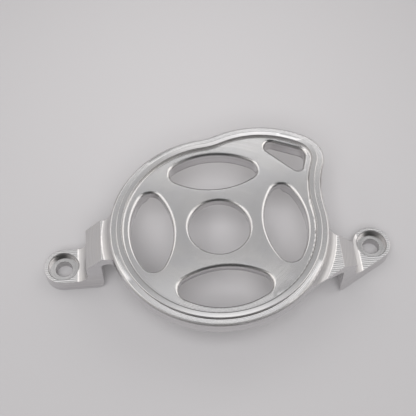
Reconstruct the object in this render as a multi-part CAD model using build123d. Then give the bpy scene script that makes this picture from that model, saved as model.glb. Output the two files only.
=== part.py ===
from build123d import *
import math
import os

# Machined aluminium guard for a motor cover: one solid, an open disc with a lobe, carried by two cranked ears.
# Millimetres, +Z up. The feet stand on z = 0, and the box round the object is centred on x = 0 and y = 0.

# Heights above the face that the feet are bolted to
foot_thick = 5.4
foot_to_arm = 14.4
arm_top = foot_thick + foot_to_arm
arm_thick = 4.0
arm_to_web = 3.6
web_top = arm_top + arm_to_web
ledge_rise = 0.35
rim_rise = 1.0
disc_thick = 5.0
disc_bottom = web_top - disc_thick
ledge_top = web_top + ledge_rise
rim_top = web_top + rim_rise

# Disc outline: a round body and a lobe, whose tight corner runs on into a long arc
body_radius = 39.2
corner_radius = 12.0
corner_bearing = 42.4
lobe_radius = 37.5
lobe_bearing = 57.8
left_hollow = 20.0
right_hollow = 40.0
waist_land = 1.6

# Rim section, measured inwards from the outline
edge_round = 0.85
ledge_width = 2.6
rim_width = 1.9
rim_hollow = 0.9
rim_break = 0.25
base_chamfer = 0.8
corner_bite = 2 * (ledge_width + rim_width) + waist_land

# Web and its openings: the ovals fill what the bore, the rim and the lands beside them leave
centre_bore = 21.8
bore_land = 5.5
rim_land = 3.1
hole_round = 1.05
web_thick = 2.8
pocket_wall = 9.2
pocket_corner = 1.5
pocket_radius = body_radius - pocket_wall
oval_width = body_radius - ledge_width - rim_width - rim_land - bore_land - centre_bore / 2
oval_pitch = centre_bore / 2 + bore_land + oval_width / 2
oval_length = 1.35 * oval_pitch
oval_tip = 0.276 * oval_width

# Opening in the lobe: three rounds wrapped by straight sides, each placed from the middle of the lobe's corner
lobe_rounds = [(-7.4, 6.3, 3.4), (2.2, 1.8, 3.8), (1.5, -3.4, 3.0)]

# Ears, from the disc outwards
arm_bite = 4.7
arm_reach = 3.2
bevel_run = 6.0
leg_thick = 5.5
left_reach = 9.2
right_reach = 9.0
arm_root = body_radius - arm_bite
bevel_start = body_radius + arm_reach
wall_x = bevel_start + bevel_run
leg_inner = wall_x - leg_thick

# Bolt holes and the pads round them
bolt_y = -1.4
left_bolt = Vector(-wall_x - left_reach, bolt_y)
right_bolt = Vector(wall_x + right_reach, bolt_y)
pad_radius = 6.95
bolt_clear = 6.4
head_bore = 11.0
head_depth = 2.0
lip_break = 0.3
foot_hollow = 4.2
leg_round = 3.0
leg_hollow = 2.0
arm_hollow = 3.25
ear_corner = 4.0
back_corner = 2.5
right_back = -5.3
right_bearing = -43.0
left_rise = 2.7
ear_inset = 5.2
ear_bite = 0.15


def at(angle, radius, centre=Vector(0, 0)):
    """Point on a circle about a centre."""
    return centre + Vector(radius * math.cos(angle), radius * math.sin(angle))


def slab(face, low, high):
    """Plan face made a solid between two heights."""
    return extrude(Pos(0, 0, low) * face, amount=high - low)


def corner_of(sketch, x, y):
    """The corner of a sketch at a given point."""
    return min(sketch.vertices(), key=lambda v: (Vector(v) - Vector(x, y)).length)


def wrap(rounds):
    """Face inside a band pulled tight round circles, each given as x, y and radius."""
    middle_x = sum(x for x, y, r in rounds) / len(rounds)
    middle_y = sum(y for x, y, r in rounds) / len(rounds)
    edges = []
    for x, y, r in rounds:
        inward = math.degrees(math.atan2(middle_y - y, middle_x - x))
        edges += (Pos(x, y) * Rot(0, 0, inward) * Circle(r)).edges()
    return make_hull(edges)


# Disc outline, or the same line any distance inside it: every arc keeps its centre
corner_centre = at(math.radians(corner_bearing), body_radius + corner_radius - corner_bite)
lobe_centre = corner_centre - at(math.radians(lobe_bearing), lobe_radius - corner_radius)


def crossing(centre, radius, hub, side):
    """Where a circle crosses one about the origin, left (1) or right (-1) of the line to its centre."""
    gap = centre.length
    along = (hub**2 - radius**2 + gap**2) / (2 * gap)
    aside = math.sqrt(hub**2 - along**2)
    axis = centre.normalized()
    return axis * along + Vector(-axis.Y, axis.X) * aside * side


def outline(inset=0):
    """Face of the disc seen from above, drawn in by the inset."""
    body_r = body_radius - inset
    lobe_r = lobe_radius - inset
    corner_r = corner_radius - inset
    start = crossing(lobe_centre, lobe_r, body_r, 1)
    start_angle = math.atan2(start.Y - lobe_centre.Y, start.X - lobe_centre.X)
    meet_angle = math.radians(lobe_bearing)
    inner_angle = math.atan2(-corner_centre.Y, -corner_centre.X)
    crown = at((start_angle + meet_angle) / 2, lobe_r, lobe_centre)
    meet = at(meet_angle, lobe_r, lobe_centre)
    side = at((meet_angle + inner_angle) / 2, corner_r, corner_centre)
    end = at(inner_angle, corner_r, corner_centre)
    top_arc = ThreePointArc(start, crown, meet)
    side_arc = ThreePointArc(meet, side, end)
    lobe = make_face([top_arc, side_arc, Line(end, (0, 0)), Line((0, 0), start)])
    face = Circle(body_r) + lobe
    waist = crossing(corner_centre, corner_r, body_r, -1)
    face = fillet(corner_of(face, start.X, start.Y), left_hollow + inset)
    return fillet(corner_of(face, waist.X, waist.Y), right_hollow + inset)


# Disc: plate with a rounded outer edge, a raised rim, a sunk web and a pocket underneath
disc = slab(outline(), disc_bottom, ledge_top)
disc = fillet(disc.edges().group_by(Axis.Z)[-1], edge_round)
disc = chamfer(disc.edges().group_by(Axis.Z)[0], base_chamfer)
rim = slab(outline(ledge_width), disc_bottom + 1, rim_top)
rim = fillet(rim.edges().group_by(Axis.Z)[-1], rim_break)
recess = slab(outline(ledge_width + rim_width), web_top, rim_top + 1)
recess = fillet(recess.edges().group_by(Axis.Z)[0], rim_hollow)
pocket = slab(Circle(pocket_radius), disc_bottom - 1, web_top - web_thick)
pocket = fillet(pocket.edges().group_by(Axis.Z)[-1], pocket_corner)
disc = disc + rim - recess - pocket

# Openings: the bore, four lens-shaped ovals and the one in the lobe
half_length = oval_length / 2 - oval_tip
half_width = oval_width / 2
side_radius = (half_length**2 + half_width**2 - oval_tip**2) / (2 * (half_width - oval_tip))
side_centre = side_radius - half_width
touch = math.atan2(half_length, side_centre)
tip_centre = Vector(0, half_length)
flank_centre = Vector(-side_centre, 0)
right_low = at(-touch, side_radius, flank_centre)
right_high = at(touch, side_radius, flank_centre)
flank = ThreePointArc(right_low, Vector(half_width, 0), right_high)
tip = ThreePointArc(right_high, tip_centre + Vector(0, oval_tip), Vector(-right_high.X, right_high.Y))
half_turn = Rot(0, 0, 180)
oval = make_face([flank, tip, half_turn * flank, half_turn * tip])
ovals = PolarLocations(oval_pitch, 4) * oval
lobe_hole = Pos(corner_centre) * wrap([(x, y, r - hole_round) for x, y, r in lobe_rounds])
openings = Sketch() + [Circle(centre_bore / 2), *ovals, lobe_hole]
disc = disc - slab(openings, disc_bottom - 1, rim_top)
web_face = disc.faces().filter_by(Plane.XY).filter_by(lambda f: abs(f.center().Z - web_top) < 0.01)[0]
hole_edges = [edge for wire in web_face.inner_wires() for edge in wire.edges()]
disc = fillet(hole_edges, hole_round)

# Ears seen from the side: arm, bevel, leg wall, pad, and the round and hollow inside the crank
arm_bottom = arm_top - arm_thick
far_x = wall_x + left_reach + 2 * pad_radius
near_x = body_radius / 2
root_bottom = disc_bottom + base_chamfer
bevel_end = arm_top - (wall_x - bevel_start)
crank_points = [
    (near_x, arm_top),
    (bevel_start, arm_top),
    (wall_x, bevel_end),
    (wall_x, foot_thick),
    (far_x, foot_thick),
    (far_x, 0),
    (leg_inner, 0),
    (leg_inner, arm_bottom),
    (arm_root, root_bottom),
    (near_x, root_bottom),
]
crank = make_face(Polyline(*crank_points, close=True))
crank = fillet(corner_of(crank, wall_x, foot_thick), foot_hollow)
crank = fillet(corner_of(crank, leg_inner, 0), leg_round)
crank = fillet(corner_of(crank, leg_inner, arm_bottom), leg_hollow)
span = 2 * body_radius
crank_bar = extrude(Plane.XZ * crank, amount=span / 2, both=True)

# Ears seen from above: the right one's front edge runs from the disc to touch the pad, the left one is square
pad = Circle(pad_radius)
right_pad = Pos(right_bolt) * pad
left_pad = Pos(left_bolt) * pad
left_front = left_bolt.Y - pad_radius
foot_back = left_bolt.Y + pad_radius
left_back = foot_back + left_rise
hub_radius = body_radius - ear_bite
hub = Circle(hub_radius)
disc_touch = at(math.radians(right_bearing), hub_radius)
reach = right_bolt - disc_touch
slant = math.atan2(reach.Y, reach.X) - math.asin(pad_radius / reach.length)
pad_touch = at(slant - math.pi / 2, pad_radius, right_bolt)
wedge = make_face(Polyline((0, right_back), disc_touch, pad_touch, (right_bolt.X, right_back), close=True))
right_plan = hub + wedge + right_pad
right_plan = fillet(corner_of(right_plan, disc_touch.X, disc_touch.Y), ear_corner)
left_foot = Pos(left_bolt.X / 2, left_bolt.Y) * Rectangle(-left_bolt.X, 2 * pad_radius)
left_arm = Pos(-wall_x / 2, (left_front + left_back) / 2) * Rectangle(wall_x, left_back - left_front)
left_plan = hub + left_foot + left_arm + left_pad
right_plan = fillet(corner_of(right_plan, hub_radius, right_back), ear_corner)
right_plan = fillet(corner_of(right_plan, right_bolt.X - pad_radius, right_back), ear_corner)
left_plan = fillet(corner_of(left_plan, -hub_radius, left_front), ear_corner)
left_plan = fillet(corner_of(left_plan, -hub_radius, left_back), ear_corner)
left_plan = fillet(corner_of(left_plan, -wall_x, foot_back), back_corner)
inner_disc = Circle(body_radius - ear_inset)
right_window = Pos(near_x + span / 2, right_back + back_corner - span / 2) * Rectangle(span, span)
right_window += Pos(leg_inner + span / 2, 0) * Rectangle(span, span)
left_middle = (left_front + left_back) / 2
left_window = Pos(-near_x - span / 2, left_middle) * Rectangle(span, left_back - left_front + 2 * ear_corner)
right_plan = (right_plan & right_window) - inner_disc
left_plan = (left_plan & left_window) - inner_disc
right_ear = slab(right_plan, 0, arm_top) & crank_bar
left_ear = slab(left_plan, 0, arm_top) & crank_bar.mirror(Plane.YZ)

# Hollow between the arms' tops and the disc's wall
wall_top = arm_top + arm_hollow
collar_out = body_radius + arm_hollow
collar_in = body_radius - edge_round / 2
collar_base = arm_top - edge_round / 2
collar_foot = (collar_out, arm_top)
collar_head = (body_radius, wall_top)
collar_inside = [(collar_in, wall_top), (collar_in, collar_base), (collar_out, collar_base)]
collar_back = Polyline(collar_head, *collar_inside, collar_foot)
sweep_mid = at(math.radians(225), arm_hollow, Vector(collar_out, wall_top))
collar_front = ThreePointArc(collar_foot, sweep_mid, collar_head)
collar = revolve(Plane.XZ * make_face([collar_back, collar_front]), Axis.Z)
right_ear += collar & slab(right_plan, collar_base, wall_top)
left_ear += collar & slab(left_plan, collar_base, wall_top)
cover = disc + right_ear + left_ear

# Bolt holes: clearance hole, flat-bottomed bore for a socket head, broken lip
bolt_hole = slab(Circle(bolt_clear / 2), -1, foot_thick)
head_hole = slab(Circle(head_bore / 2), foot_thick - head_depth, foot_thick + 1)
lip = Pos(0, 0, foot_thick - lip_break) * extrude(Circle(head_bore / 2), amount=2 * lip_break, taper=-45)
drill = bolt_hole + head_hole + lip
cover = cover - Pos(left_bolt) * drill - Pos(right_bolt) * drill

# Own frame, half way between the bolts, and half way between the front of the disc and the top of the lobe
ring_x = -(left_bolt.X + right_bolt.X) / 2
ring_y = (body_radius - lobe_radius - lobe_centre.Y) / 2
cover = (Pos(ring_x, ring_y, 0) * cover).solid()
cover.label = "motor_cover"
os.makedirs("parts", exist_ok=True)
export_step(cover, "parts/motor_cover.step")
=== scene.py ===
import math
import bpy
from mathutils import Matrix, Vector


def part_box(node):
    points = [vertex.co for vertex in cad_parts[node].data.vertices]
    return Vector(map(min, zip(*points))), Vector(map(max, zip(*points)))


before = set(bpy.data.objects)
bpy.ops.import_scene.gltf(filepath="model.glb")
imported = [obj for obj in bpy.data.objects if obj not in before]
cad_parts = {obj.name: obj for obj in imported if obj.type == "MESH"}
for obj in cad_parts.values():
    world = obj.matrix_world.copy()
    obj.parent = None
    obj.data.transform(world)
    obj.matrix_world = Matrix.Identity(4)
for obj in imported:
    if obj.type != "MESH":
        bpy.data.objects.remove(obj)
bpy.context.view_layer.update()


# Motor cover
# One piece of aluminium plate, milled all over with end mills and ball mills, then anodised clear.
# Two socket screws through the feet hold it to the engine case, so it rides on the row's only body.
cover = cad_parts["motor_cover"]
millimetre = 0.001
rim_rise = 1.0
rim_over_ledge = 0.65
rim_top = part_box("motor_cover")[1].z / millimetre
web_top = rim_top - rim_rise
ledge_top = rim_top - rim_over_ledge


class Shade:
    """A socket of a node tree. Sums of such sockets and numbers add Math nodes."""

    def __init__(self, tree, socket=None):
        self.tree, self.socket = tree, socket

    def node(self, kind, settings=None, *values, out=0, at=None, **named):
        """Adds any node, first its settings, then its sockets by place or by name, and gives one output."""
        made = self.tree.nodes.new(kind)
        for name, value in (settings or {}).items():
            if name == "stops":
                for spare in range(len(value) - len(made.color_ramp.elements)):
                    made.color_ramp.elements.new(1)
                for stop, (place, grey) in zip(made.color_ramp.elements, value):
                    stop.position = place
                    stop.color = (grey, grey, grey, 1)
            else:
                setattr(made, name, value)
        self.feed(made, {**dict(enumerate(values)), **(at or {}), **named})
        return Shade(self.tree, made.outputs[out])

    def feed(self, node, values):
        """Links or sets sockets of a node, each found by its place or its name."""
        for key, value in values.items():
            socket = node.inputs[key if isinstance(key, int) else key.replace("_", " ")]
            if isinstance(value, Shade):
                self.tree.links.new(value.socket, socket)
            else:
                socket.default_value = value

    def other(self, name):
        """Another output of the node that this socket belongs to."""
        return Shade(self.tree, self.socket.node.outputs[name])

    def math(self, operation, *values):
        return self.node("ShaderNodeMath", {"operation": operation}, *values)

    def __add__(self, other):
        return self.math("ADD", self, other)

    def __sub__(self, other):
        return self.math("SUBTRACT", self, other)

    def __rsub__(self, other):
        return self.math("SUBTRACT", other, self)

    def __mul__(self, other):
        return self.math("MULTIPLY", self, other)

    def __truediv__(self, other):
        return self.math("DIVIDE", self, other)

    def __rtruediv__(self, other):
        return self.math("DIVIDE", other, self)

    def __abs__(self):
        return self.math("ABSOLUTE", self)

    __radd__ = __add__
    __rmul__ = __mul__

    def reach(self, aside):
        """Length of the line that goes this far along one axis and so far aside."""
        return self.math("SQRT", self * self + aside * aside)

    def fade(self, start, stop):
        """A soft step from 0 at the start to 1 at the stop, which can lie on either side of it."""
        soft = {"interpolation_type": "SMOOTHSTEP"}
        return self.node("ShaderNodeMapRange", soft, self, start, stop, 0.0, 1.0)

    def mix(self, first, last, kind="RGBA"):
        """A colour or vector that goes from the first to the last as this socket goes from 0 to 1."""
        place, out = {"RGBA": (6, 2), "VECTOR": (4, 1)}[kind]
        ends = {place: first, place + 1: last}
        return self.node("ShaderNodeMix", {"data_type": kind}, self, out=out, at=ends)


# The facets of the tessellation are welded and shaded as the smooth surfaces that they stand for
weld_gap = 1e-6
sharp_angle = math.radians(32)
wide_faces_first = 90
facing = bpy.data.node_groups.new("smooth_faces", "GeometryNodeTree")
facing.interface.new_socket("Geometry", in_out="INPUT", socket_type="NodeSocketGeometry")
facing.interface.new_socket("Geometry", in_out="OUTPUT", socket_type="NodeSocketGeometry")
shape = Shade(facing, facing.nodes.new("NodeGroupInput").outputs[0])
shape = shape.node("GeometryNodeMergeByDistance", {}, shape, Distance=weld_gap)
fold = shape.node("GeometryNodeInputMeshEdgeAngle")
past = {"data_type": "FLOAT", "operation": "GREATER_THAN"}
sharp = shape.node("FunctionNodeCompare", past, fold, sharp_angle)
for domain, chosen, smooth in (("FACE", True, True), ("EDGE", sharp, False)):
    shape = shape.node("GeometryNodeSetShadeSmooth", {"domain": domain}, shape, chosen, smooth)
shape.feed(facing.nodes.new("NodeGroupOutput"), {0: shape})
cover.modifiers.new("smooth_faces", "NODES").node_group = facing
evened = cover.modifiers.new("even_normals", "WEIGHTED_NORMAL")
evened.keep_sharp = True
evened.weight = wide_faces_first

# Milled metal, measured in millimetres from the feet's faces and from the middle of the ring,
# which is a little off the row's origin
ring_x = 0.1
ring_y = -2.05
bolt_across = 57.5
bolt_ahead = -1.4
lobe_hole_x = 29.4
lobe_hole_y = 29.7
aluminium = bpy.data.materials.new("machined_aluminium")
aluminium.use_nodes = True
metal = Shade(aluminium.node_tree)
metres = metal.node("ShaderNodeTexCoord", out="Object")
to_millimetres = (1 / millimetre, 1 / millimetre, 1 / millimetre)
to_ring = (-ring_x, -ring_y, 0)
place = metal.node("ShaderNodeMapping", {}, metres, Location=to_ring, Scale=to_millimetres)
x = metal.node("ShaderNodeSeparateXYZ", {}, place)
y, z = x.other("Y"), x.other("Z")
outward = metal.node("ShaderNodeTexCoord", out="Normal")
rise = metal.node("ShaderNodeSeparateXYZ", {}, outward, out="Z")
radius = x.reach(y)
bolt_side = (abs(x) - bolt_across).reach(y - bolt_ahead)
lobe_hole_side = (x - lobe_hole_x).reach(y - lobe_hole_y)

# Where each kind of face starts and where it is reached in full, by its slope: the upward part of its normal
flat_slope = (0.97, 0.995)
level_slope = (0.995, 0.999)
wall_slope = (0.3, 0.05)

# The same by its height above the feet
arms_end = (21.5, 20.5)
disc_start = (15.0, 17.0)
recess_end = (rim_top - 0.05, rim_top - 0.25)
hollow_start = (web_top + 0.02, web_top + 0.1)
hollow_end = (rim_top - 0.02, rim_top - 0.1)
step_start = (ledge_top + 0.01, ledge_top + 0.07)
step_end = (rim_top - 0.02, rim_top - 0.06)
top_start = (rim_top - 0.1, rim_top - 0.02)
bore_end = (5.3, 5.0)

# The same by its distance from the middle of the ring, from a bolt and from the opening in the lobe
edge_band = (38.0, 38.4)
step_band = (35.7, 36.1)
rim_band = (35.5, 36.5)
recess_band = (34.7, 35.3)
bore_band = (5.6, 5.4)
lobe_hole_band = (7.0, 8.5)

# The same by how far it lies towards the lobe, where the plain ring ends and where its far side starts
ring_end = (26.0, 18.0)
near_side_end = (14.0, 8.0)
far_side = (4.0, 18.0)

# Kinds of faces, each 1 on its faces and 0 on all others
flat = rise.fade(*flat_slope)
upright = rise.fade(*wall_slope)
sloping = (1 - flat) * (1 - upright)
low_flat = flat * z.fade(*arms_end)
rim_face = rise.fade(*level_slope) * z.fade(*top_start)
on_ring = y.fade(*ring_end)
outer_round = radius.fade(*edge_band) * on_ring * sloping
rim_step = z.fade(*step_start) * z.fade(*step_end) * radius.fade(*step_band) * on_ring
past_rim = radius.fade(*rim_band) * y.fade(*near_side_end)
inner_hollow = z.fade(*hollow_start) * z.fade(*hollow_end) * (1 - flat) * (1 - past_rim)
past_recess = radius.fade(*recess_band) * lobe_hole_side.fade(*lobe_hole_band)
in_recess = z.fade(*disc_start) * z.fade(*recess_end) * (1 - past_recess)
in_bore = bolt_side.fade(*bore_band) * z.fade(*bore_end)
bore_floor = in_bore * (1 - upright)
on_arms = low_flat * (1 - in_bore)
on_rings = (1 - upright) * (1 - low_flat)

noise_middle = 0.5


def grain(size, detail=2.0, stretch=(1, 1, 1)):
    """Soft noise about its middle, with grains of one size, which can be drawn out along the axes."""
    drawn = place.node("ShaderNodeMapping", {}, place, Scale=stretch)
    return drawn.node("ShaderNodeTexNoise", {}, Vector=drawn, Scale=1 / size, Detail=detail)


def passes(across, step, depth):
    """Scallops left by a mill that steps over by a fixed amount, and a chance value for each pass."""
    count = across / step
    number = count.math("FLOOR", count)
    chance = number.node("ShaderNodeTexWhiteNoise", {"noise_dimensions": "1D"}, W=number)
    groove = abs(count.math("SINE", count * math.pi)) * -depth
    return groove, chance


# Straight passes on the tops of the arms and feet, rings on the web, ledge and hollows, level lines
# on the walls, and turned marks in the bores for the screws' heads
straight_wander = grain(size=6.0) * 0.15
ring_wander = grain(size=9.0) * 0.1
level_wander = grain(size=5.0, stretch=(1, 1, 0.2)) * 0.2
straight, straight_luck = passes(y + straight_wander, step=0.8, depth=0.0125)
rings, ring_luck = passes(radius + ring_wander, step=0.45, depth=0.004)
levels, level_luck = passes(z + level_wander, step=0.5, depth=0.009)
turned, turned_luck = passes(bolt_side, step=0.35, depth=0.004)
pore_depth = 0.0018
wave_depth = 0.0025
hollow_polish = 0.8
ring_luck_share = 0.6
pores = (grain(size=0.12, detail=3.0) - noise_middle) * pore_depth
waves = (grain(size=1.6) - noise_middle) * wave_depth
height_of_marks = (
    straight * on_arms
    + turned * bore_floor
    + rings * on_rings * (1 - rim_face)
    + levels * upright
    + pores * (1 - rim_face) * (1 - inner_hollow * hollow_polish)
    + waves * (1 - rim_face) * (1 - inner_hollow)
)
luck = (
    straight_luck * on_arms
    + turned_luck * bore_floor
    + ring_luck * on_rings * ring_luck_share
    + level_luck * upright
)

# Broken edges catch the light, and handling has polished them. On the far halves of the openings and
# of the recess they look wider, so there the normal is bent over more of the face.
bevel_rays = 6
fine_break = 0.18 * millimetre
wide_break = 1.2 * millimetre
far_lean = (0.12, -0.12)
edge_bend = (0.03, 0.3)
rubbed = (0.35, 0.6)
soft_edge = metal.node("ShaderNodeBevel", {"samples": bevel_rays}, Radius=fine_break)
wide_edge = metal.node("ShaderNodeBevel", {"samples": bevel_rays}, Radius=wide_break)
wide_lean = metal.node("ShaderNodeSeparateXYZ", {}, wide_edge, out="Y")
by_holes = in_recess * wide_lean.fade(*far_lean)
turn = by_holes.mix(soft_edge, wide_edge, "VECTOR")
relief = metal.node("ShaderNodeBump", {}, Distance=millimetre, Height=height_of_marks, Normal=turn)
dot = {"operation": "DOT_PRODUCT"}
likeness = metal.node("ShaderNodeVectorMath", dot, soft_edge, outward, out="Value")
worn = (1 - likeness).fade(*edge_bend) * grain(size=0.8, detail=3.0).fade(*rubbed)

# Colour: a clear anodised film in faint clouds, greyer by chance from pass to pass and in the bores,
# brighter where it is worn
thin_film = (0.728, 0.719, 0.729, 1)
thick_film = (0.765, 0.75, 0.748, 1)
pass_grey = (0.66, 0.65, 0.652, 1)
worn_bright = (0.86, 0.85, 0.852, 1)
cloud_edges = (0.35, 0.65)
pass_share = 0.8
bore_share = 0.9
worn_share = 0.7
film = grain(size=11.0, detail=4.0).fade(*cloud_edges).mix(thin_film, thick_film)
struck = (luck * pass_share + in_bore * bore_share).mix(film, pass_grey)
bared = (worn * worn_share).mix(struck, worn_bright)

# Roughness: that of a fresh cut, and what chance and each kind of face add to it or take from it
fresh_cut = 0.10
pass_spread = 0.06
patch_spread = 0.06
wall_dull = 0.08
edge_dull = 0.4
bore_dull = 0.3
near_hollow_dull = 0.13
far_hollow_dull = 0.37
arm_gloss = 0.02
slope_gloss = 0.03
worn_gloss = 0.03
rim_gloss = 0.07
hole_gloss = 0.05
patches = grain(size=2.4, detail=3.0) - noise_middle
hollow_dull = y.fade(*far_side) * far_hollow_dull + near_hollow_dull
sheen = (
    fresh_cut
    + luck * pass_spread
    + patches * patch_spread
    + upright * wall_dull
    + (outer_round + rim_step) * edge_dull
    + in_bore * upright * bore_dull
    + inner_hollow * hollow_dull
    - low_flat * arm_gloss
    - sloping * slope_gloss
    - worn * worn_gloss
    - rim_face * rim_gloss
    - by_holes * (1 - flat) * hole_gloss
)
finish = {"Base Color": bared, "Metallic": 1.0, "Roughness": sheen, "Normal": relief}
metal.feed(aluminium.node_tree.nodes["Principled BSDF"], finish)
cover.data.materials.clear()
cover.data.materials.append(aluminium)


# Floor
# A sheet of pale matt card under the object and behind it, not part of the object, with the faint tooth of
# paper.
# Its colour holds painted light: a painted falloff that darkens it a little outwards, and a painted pool of
# light under the object.
card_half = 3.0
card = bpy.data.meshes.new("card")
quarters = ((-1, -1), (1, -1), (1, 1), (-1, 1))
card.from_pydata([(card_half * right, card_half * back, 0) for right, back in quarters], [], [(0, 1, 2, 3)])
floor = bpy.data.objects.new("floor", card)
bpy.context.scene.collection.objects.link(floor)
# Painted falloff of light: the card's colour is lighter near the middle and darker outwards
painted_lit_tone = (0.490, 0.479, 0.490, 1)
painted_shade_tone = (0.380, 0.372, 0.381, 1)
# Painted pool of light: a paler card colour under the object, where the floor shows through the openings
painted_pool_light_tone = (0.522, 0.510, 0.521, 1)
painted_light_centre = (0.0, 0.1, 0.0)
painted_pool_centre = (0.010, 0.016, 0.0)
painted_falloff_band = (0.0, 0.22)
painted_pool_edge = (0.051, 0.029)
fibres_per_metre = 900.0
tooth_height = 0.0001
tooth_strength = 0.15
card_roughness = 0.85
paper = bpy.data.materials.new("paper")
paper.use_nodes = True
sheet = Shade(paper.node_tree)
spot = sheet.node("ShaderNodeTexCoord", out="Object")
apart = {"operation": "DISTANCE"}
from_painted_light_centre = spot.node("ShaderNodeVectorMath", apart, spot, painted_light_centre, out="Value")
from_painted_pool = spot.node("ShaderNodeVectorMath", apart, spot, painted_pool_centre, out="Value")
# Painted light on the card: first the painted falloff outwards, then the painted pool of light over it
card_painted_light = from_painted_light_centre.fade(*painted_falloff_band).mix(painted_lit_tone, painted_shade_tone)
card_painted_light = from_painted_pool.fade(*painted_pool_edge).mix(card_painted_light, painted_pool_light_tone)
fibre = spot.node("ShaderNodeTexNoise", {}, Vector=spot, Scale=fibres_per_metre, Detail=3.0)
tooth = sheet.node("ShaderNodeBump", {}, Strength=tooth_strength, Distance=tooth_height, Height=fibre)
card_finish = {"Base Color": card_painted_light, "Roughness": card_roughness, "Normal": tooth}
sheet.feed(paper.node_tree.nodes["Principled BSDF"], card_finish)
card.materials.append(paper)


# Light
# A white tent round the object: bright walls at its left and right, and a narrow slot from front to back
# that is dark over the camera and paler behind the object. A soft lamp on the camera's side lights the floor.
tent = bpy.data.worlds.new("tent")
bpy.context.scene.world = tent
tent.use_nodes = True
ray = Shade(tent.node_tree).node("ShaderNodeTexCoord", out="Generated")
across = ray.node("ShaderNodeSeparateXYZ", {}, ray)
ahead, height = across.other("Y"), across.other("Z")

# Greys of the slot along its arc, which goes from 0 at the horizon behind the object, over the top,
# to 1 at the horizon in front of it. Two bright strips stand behind the object.
slot_greys = [
    (0.0, 0.11), (0.15, 0.11), (0.262, 0.30), (0.277, 0.98), (0.288, 0.98), (0.297, 0.38),
    (0.31, 0.33), (0.343, 0.31), (0.352, 0.50), (0.358, 0.86), (0.372, 0.86), (0.386, 0.2),
    (0.44, 0.12), (0.53, 0.012), (0.90, 0.012), (1.0, 0.15),
]
arc = height.math("ARCTAN2", height, ahead) / math.pi
slot = arc.node("ShaderNodeValToRGB", {"stops": slot_greys}, arc)

# The walls get brighter upwards, and above their foot to the right. They get darker towards both ends
# of the tent, most of all towards the camera's.
wall_foot = 0.27
wall_climb = 0.78
wall_head = 0.13
head_band = (0.35, 0.6)
wall_middle = 1.05
right_gain = 0.28
gain_band = (0.1, 0.5)
far_loss = 0.6
far_band = (0.60, 0.78)
near_loss = 0.85
near_band = (-0.05, -0.4)
upwards = height * wall_climb + wall_foot + height.fade(*head_band) * wall_head
sideways = across * height.fade(*gain_band) * right_gain + wall_middle
endwise = (1 - ahead.fade(*far_band) * far_loss) * (1 - ahead.fade(*near_band) * near_loss)
wall = upwards * sideways * endwise

# The slot stands a little to the right, and it is wider overhead and over the camera than behind the object
slot_middle = 0.07
slot_edge = (0.215, 0.29)
slot_widening = 0.09
widening_band = (0.38, 0.44)
white = (1.0, 1.0, 1.0, 1)
warm_white = (1.0, 0.978, 0.955, 1)
tent_dark = 0.06
tent_bright = 1.4
from_slot = abs(across - slot_middle) - arc.fade(*widening_band) * slot_widening
side = from_slot.fade(*slot_edge)
dark = ray.node("ShaderNodeBackground", {}, white, tent_dark)
bright = ray.node("ShaderNodeBackground", {}, side.mix(white, warm_white), tent_bright)
glow = ray.node("ShaderNodeMixShader", {}, slot * (1 - side) + wall * side, dark, bright)
glow.feed(tent.node_tree.nodes["World Output"], {"Surface": glow})

# The lamp stands close to the camera's line of sight, and the metal doesn't mirror it
lamp_width = 0.9
lamp_watts = 15.3
lamp_place = Vector((-0.10, -0.62, 1.06))
roof_light = bpy.data.lights.new("roof_light", "AREA")
roof_light.shape = "SQUARE"
roof_light.size = lamp_width
roof_light.energy = lamp_watts
roof = bpy.data.objects.new("roof_light", roof_light)
roof.location = lamp_place
roof.rotation_mode = "QUATERNION"
roof.rotation_quaternion = (-lamp_place).to_track_quat("-Z", "Y")
roof.visible_glossy = False
bpy.context.scene.collection.objects.link(roof)


# Camera
# It looks down at the object's front from 0.3 m away, through a short telephoto lens.
# The plain display transform keeps the metal's highlights white.
aim_at = Vector((-0.00322, 0.00592, 0.0234))
camera_turn = math.radians(-4.94)
camera_rise = math.radians(56.85)
camera_distance = 0.313
camera_lens = 75.2
sensor_width = 36.0
nearest = 0.01
farthest = 20.0
towards = Vector((
    math.sin(camera_turn) * math.cos(camera_rise),
    -math.cos(camera_turn) * math.cos(camera_rise),
    math.sin(camera_rise),
))
camera_data = bpy.data.cameras.new("camera")
camera_data.lens = camera_lens
camera_data.sensor_width = sensor_width
camera_data.clip_start = nearest
camera_data.clip_end = farthest
camera = bpy.data.objects.new("camera", camera_data)
camera.rotation_mode = "QUATERNION"
camera.location = aim_at + towards * camera_distance
camera.rotation_quaternion = (-towards).to_track_quat("-Z", "Y")
bpy.context.scene.collection.objects.link(camera)
bpy.context.scene.camera = camera
bpy.context.scene.view_settings.view_transform = "Standard"
